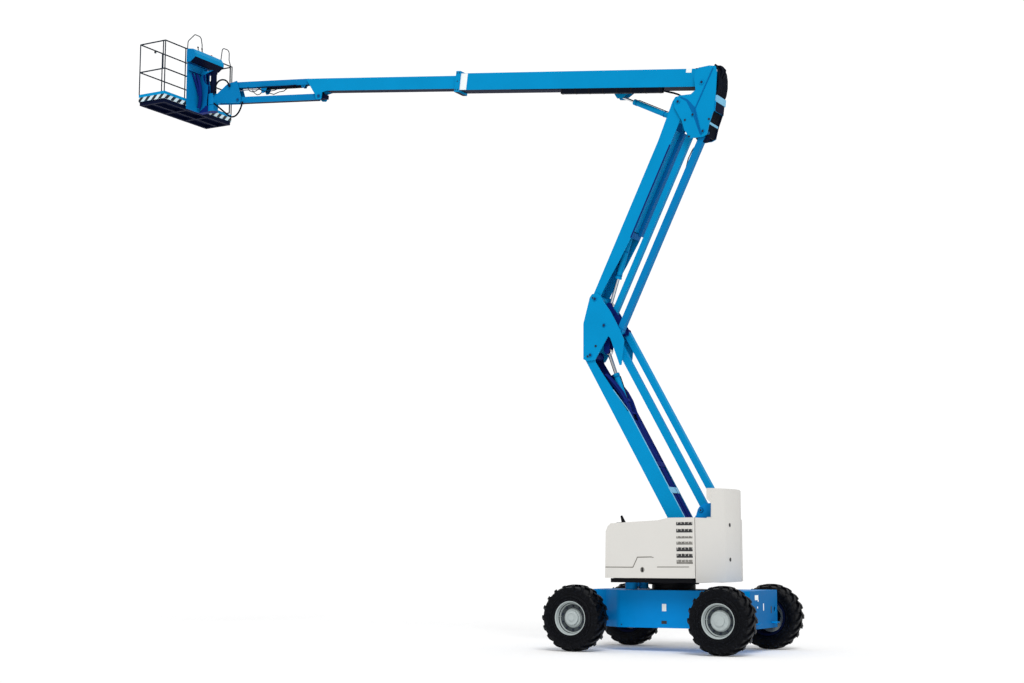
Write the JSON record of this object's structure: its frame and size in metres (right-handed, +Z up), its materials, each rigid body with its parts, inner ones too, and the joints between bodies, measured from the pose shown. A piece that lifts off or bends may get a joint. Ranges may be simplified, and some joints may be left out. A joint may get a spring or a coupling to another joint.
{
  "type": "articulating_boom_lift",
  "caption": "Diesel articulating boom lift with a two-stage folding riser, telescopic boom, jib and rotating work platform on a four-wheel steered chassis",
  "frame": {"origin": "On the ground, at the middle of the footprint of the whole machine as it stands with its boom out over the front.", "axes": "+X is forwards, the way the chassis faces and the boom points; +Y is the machine's left side; +Z is up. The slewing axis is at x = -4.3865 m."},
  "size_m": [12.253, 2.45, 11.5388],
  "materials": {
    "boom_blue": "satin bright blue paint",
    "base_blue": "satin deeper blue paint",
    "light_cover": "satin warm off-white paint",
    "dark_metal": "semi-matt black paint",
    "engine_grey": "rough cast",
    "rod_chrome": "polished",
    "black_plastic": "matt black",
    "rail_grey": "satin dark grey paint",
    "tyre_rubber": "matt rubber",
    "rim_paint": "satin light grey paint"
  },
  "bodies": {
    "chassis": {"chassis_frame": "base_blue", "front_axle": "base_blue", "rear_axle": "base_blue", "slew_ring": "dark_metal"},
    "knuckle_left": {"steering_knuckle_left": "base_blue"},
    "knuckle_right": {"steering_knuckle_right": "base_blue"},
    "tie_rod": {"tie_rod": "dark_metal"},
    "turntable": {"turntable_deck": "dark_metal", "riser_pedestal": "base_blue", "counterweight": "light_cover", "engine_block": "engine_grey", "slew_drive": "base_blue"},
    "hood_left": {"hood_left": "light_cover"},
    "hood_right": {"hood_right": "light_cover"},
    "lower_arm": {"lower_riser_arm": "boom_blue"},
    "lower_link": {"lower_riser_link": "boom_blue"},
    "lower_tension": {"lower_tension_link": "boom_blue"},
    "mid_knuckle": {"mid_knuckle": "boom_blue"},
    "upper_arm": {"upper_riser_arm": "boom_blue"},
    "upper_link": {"upper_riser_link": "boom_blue"},
    "upper_tension": {"upper_tension_link": "boom_blue"},
    "top_knuckle": {"top_knuckle": "boom_blue"},
    "lower_riser_barrel": {"lower_riser_cylinder": "boom_blue"},
    "lower_riser_rod": {"lower_riser_rod": "rod_chrome"},
    "upper_riser_barrel": {"upper_riser_cylinder": "boom_blue"},
    "upper_riser_rod": {"upper_riser_rod": "rod_chrome"},
    "boom": {"boom_base": "boom_blue", "cable_tray": "black_plastic"},
    "boom_barrel": {"boom_cylinder": "boom_blue"},
    "boom_rod": {"boom_rod": "rod_chrome"},
    "boom_extension": {"boom_extension": "boom_blue"},
    "jib_bellcrank": {"jib_bellcrank": "dark_metal"},
    "jib_upper": {"jib_upper_arm": "boom_blue"},
    "jib_lower": {"jib_lower_arm": "boom_blue"},
    "jib_head": {"jib_head": "boom_blue", "hose_upper": "black_plastic", "hose_lower": "black_plastic"},
    "jib_barrel": {"jib_cylinder": "dark_metal"},
    "jib_rod": {"jib_rod": "rod_chrome"},
    "platform": {"platform_mount": "boom_blue", "platform_floor": "rail_grey", "toe_boards": "boom_blue", "rail_outer": "rail_grey", "rail_inner": "rail_grey", "rail_left": "rail_grey", "platform_console": "boom_blue"},
    "gate": {"platform_gate": "rail_grey"},
    "wheel_front_left": {"tyre_front_left": "tyre_rubber", "rim_front_left": "rim_paint"},
    "wheel_front_right": {"tyre_front_right": "tyre_rubber", "rim_front_right": "rim_paint"},
    "wheel_rear_left": {"tyre_rear_left": "tyre_rubber", "rim_rear_left": "rim_paint"},
    "wheel_rear_right": {"tyre_rear_right": "tyre_rubber", "rim_rear_right": "rim_paint"}
  },
  "joints": [
    {"name": "steer_left", "type": "hinge", "parent": "chassis", "child": "knuckle_left", "pos_m": [-3.1615, 0.8, 0.515], "axis": [0, 0, 1], "range_deg": [-33, 33]},
    {"name": "steer_right", "type": "hinge", "parent": "chassis", "child": "knuckle_right", "pos_m": [-3.1615, -0.8, 0.515], "axis": [0, 0, 1], "range_deg": [-33.13, 33.13]},
    {"name": "tie_rod_slide", "type": "slide", "parent": "chassis", "child": "tie_rod", "axis": [0, 1, 0], "range_m": [-0.11864, 0.11864]},
    {"name": "spin_front_left", "type": "hinge", "parent": "knuckle_left", "child": "wheel_front_left", "pos_m": [-3.1615, 1.035, 0.515], "axis": [0, 1, 0], "continuous": true},
    {"name": "spin_front_right", "type": "hinge", "parent": "knuckle_right", "child": "wheel_front_right", "pos_m": [-3.1615, -1.035, 0.515], "axis": [0, 1, 0], "continuous": true},
    {"name": "spin_rear_left", "type": "hinge", "parent": "chassis", "child": "wheel_rear_left", "pos_m": [-5.6115, 1.035, 0.515], "axis": [0, 1, 0], "continuous": true},
    {"name": "spin_rear_right", "type": "hinge", "parent": "chassis", "child": "wheel_rear_right", "pos_m": [-5.6115, -1.035, 0.515], "axis": [0, 1, 0], "continuous": true},
    {"name": "slew", "type": "hinge", "parent": "chassis", "child": "turntable", "pos_m": [-4.3865, 0, 1], "axis": [0, 0, 1], "continuous": true},
    {"name": "hood_left", "type": "hinge", "parent": "turntable", "child": "hood_left", "pos_m": [-4.3865, 0.299, 2.04], "axis": [1, 0, 0], "range_deg": [0, 55]},
    {"name": "hood_right", "type": "hinge", "parent": "turntable", "child": "hood_right", "pos_m": [-4.3865, -0.299, 2.04], "axis": [-1, 0, 0], "range_deg": [0, 55]},
    {"name": "riser", "type": "hinge", "parent": "turntable", "child": "lower_arm", "pos_m": [-4.7175, 0, 1.705], "axis": [0, -1, 0], "range_deg": [-60, 4]},
    {"name": "lower_link_hinge", "type": "hinge", "parent": "turntable", "child": "lower_link", "pos_m": [-4.9705, 0, 2.18], "axis": [0, -1, 0], "range_deg": [-60.13, 4.13]},
    {"name": "lower_tension_hinge", "type": "hinge", "parent": "turntable", "child": "lower_tension", "pos_m": [-5.2345, -0.115, 2.084], "axis": [0, -1, 0], "range_deg": [-60.13, 4.13]},
    {"name": "mid_knuckle_hinge", "type": "hinge", "parent": "lower_arm", "child": "mid_knuckle", "pos_m": [-3.0415, 0, 4.735], "axis": [0, -1, 0], "range_deg": [-4.13, 60.13]},
    {"name": "upper_arm_hinge", "type": "hinge", "parent": "mid_knuckle", "child": "upper_arm", "pos_m": [-3.1315, 0, 5.66], "axis": [0, -1, 0], "range_deg": [-4.13, 60.13]},
    {"name": "upper_link_hinge", "type": "hinge", "parent": "mid_knuckle", "child": "upper_link", "pos_m": [-3.3905, 0, 5.408], "axis": [0, -1, 0], "range_deg": [-4.13, 60.13]},
    {"name": "upper_tension_hinge", "type": "hinge", "parent": "mid_knuckle", "child": "upper_tension", "pos_m": [-3.5585, 0.115, 5.114], "axis": [0, -1, 0], "range_deg": [-4.13, 60.13]},
    {"name": "top_knuckle_hinge", "type": "hinge", "parent": "upper_arm", "child": "top_knuckle", "pos_m": [-4.6565, 0, 8.785], "axis": [0, -1, 0], "range_deg": [-60.13, 4.13]},
    {"name": "lower_riser_barrel_swing", "type": "hinge", "parent": "lower_arm", "child": "lower_riser_barrel", "pos_m": [-3.71969, 0, 3.55023], "axis": [0, -1, 0], "range_deg": [-5.81, 0.4]},
    {"name": "lower_riser_rod_slide", "type": "slide", "parent": "lower_riser_barrel", "child": "lower_riser_rod", "axis": [0.3342, 0, 0.9425], "range_m": [-0.2078, 0.01436]},
    {"name": "upper_riser_barrel_swing", "type": "hinge", "parent": "upper_arm", "child": "upper_riser_barrel", "pos_m": [-3.74812, 0, 6.87795], "axis": [0, -1, 0], "range_deg": [-0.18, 2.6]},
    {"name": "upper_riser_rod_slide", "type": "slide", "parent": "upper_riser_barrel", "child": "upper_riser_rod", "axis": [0.308, 0, -0.9514], "range_m": [-0.20615, 0.01425]},
    {"name": "boom_lift", "type": "hinge", "parent": "top_knuckle", "child": "boom", "pos_m": [-5.0765, 0, 9.05], "axis": [0, 1, 0], "range_deg": [-67, 14]},
    {"name": "boom_barrel_swing", "type": "hinge", "parent": "top_knuckle", "child": "boom_barrel", "pos_m": [-4.8365, 0, 8.412], "axis": [0, -1, 0], "range_deg": [-11.66, 55.3]},
    {"name": "boom_rod_slide", "type": "slide", "parent": "boom_barrel", "child": "boom_rod", "axis": [0.8873, 0, 0.4612], "range_m": [-0.14129, 0.66969]},
    {"name": "boom_telescope", "type": "slide", "parent": "boom", "child": "boom_extension", "axis": [0.9918, 0, 0.1279], "range_m": [-2.7, 0]},
    {"name": "jib_level", "type": "hinge", "parent": "boom_extension", "child": "jib_bellcrank", "pos_m": [2.5885, 0, 9.92], "axis": [0, -1, 0], "range_deg": [-67.16, 14.16]},
    {"name": "jib_lift", "type": "hinge", "parent": "jib_bellcrank", "child": "jib_upper", "pos_m": [2.7935, 0, 10.238], "axis": [0, -1, 0], "range_deg": [-76, 28]},
    {"name": "jib_lower_hinge", "type": "hinge", "parent": "jib_bellcrank", "child": "jib_lower", "pos_m": [2.5885, 0, 9.92], "axis": [0, -1, 0], "range_deg": [-76.21, 28.21]},
    {"name": "jib_head_hinge", "type": "hinge", "parent": "jib_upper", "child": "jib_head", "pos_m": [4.71228, 0, 10.43629], "axis": [0, -1, 0], "range_deg": [-28.21, 76.21]},
    {"name": "jib_barrel_swing", "type": "hinge", "parent": "jib_upper", "child": "jib_barrel", "pos_m": [2.99103, 0, 10.17497], "axis": [0, -1, 0], "range_deg": [-1.92, 0.71]},
    {"name": "jib_rod_slide", "type": "slide", "parent": "jib_barrel", "child": "jib_rod", "axis": [0.9954, 0, 0.0955], "range_m": [-0.05394, 0.14557]},
    {"name": "platform_rotate", "type": "hinge", "parent": "jib_head", "child": "platform", "pos_m": [5.1635, 0, 10.2], "axis": [0, 0, 1], "range_deg": [-75, 75]},
    {"name": "gate", "type": "hinge", "parent": "platform", "child": "gate", "pos_m": [5.5385, -0.95, 10.6], "axis": [0, 0, 1], "range_deg": [0, 80]}
  ],
  "couplings": [
    {"joint": "steer_right", "follows": "steer_left", "ratio": 1},
    {"joint": "tie_rod_slide", "follows": "steer_left", "m_per_rad": 0.205},
    {"joint": "lower_link_hinge", "follows": "riser", "ratio": 1},
    {"joint": "lower_tension_hinge", "follows": "riser", "ratio": 1},
    {"joint": "mid_knuckle_hinge", "follows": "riser", "ratio": -1},
    {"joint": "upper_arm_hinge", "follows": "riser", "ratio": -1},
    {"joint": "upper_link_hinge", "follows": "riser", "ratio": -1},
    {"joint": "upper_tension_hinge", "follows": "riser", "ratio": -1},
    {"joint": "top_knuckle_hinge", "follows": "riser", "ratio": 1},
    {"joint": "lower_riser_barrel_swing", "follows": "riser", "ratio": 0.096587},
    {"joint": "lower_riser_rod_slide", "follows": "riser", "m_per_rad": 0.19792},
    {"joint": "upper_riser_barrel_swing", "follows": "riser", "ratio": -0.043237},
    {"joint": "upper_riser_rod_slide", "follows": "riser", "m_per_rad": 0.19634},
    {"joint": "boom_barrel_swing", "follows": "boom_lift", "ratio": -0.82337},
    {"joint": "boom_rod_slide", "follows": "boom_lift", "m_per_rad": -0.57122},
    {"joint": "jib_level", "follows": "boom_lift", "ratio": 1},
    {"joint": "jib_lower_hinge", "follows": "jib_lift", "ratio": 1},
    {"joint": "jib_head_hinge", "follows": "jib_lift", "ratio": -1},
    {"joint": "jib_barrel_swing", "follows": "jib_lift", "ratio": 0.02525},
    {"joint": "jib_rod_slide", "follows": "jib_lift", "m_per_rad": -0.10937}
  ]
}
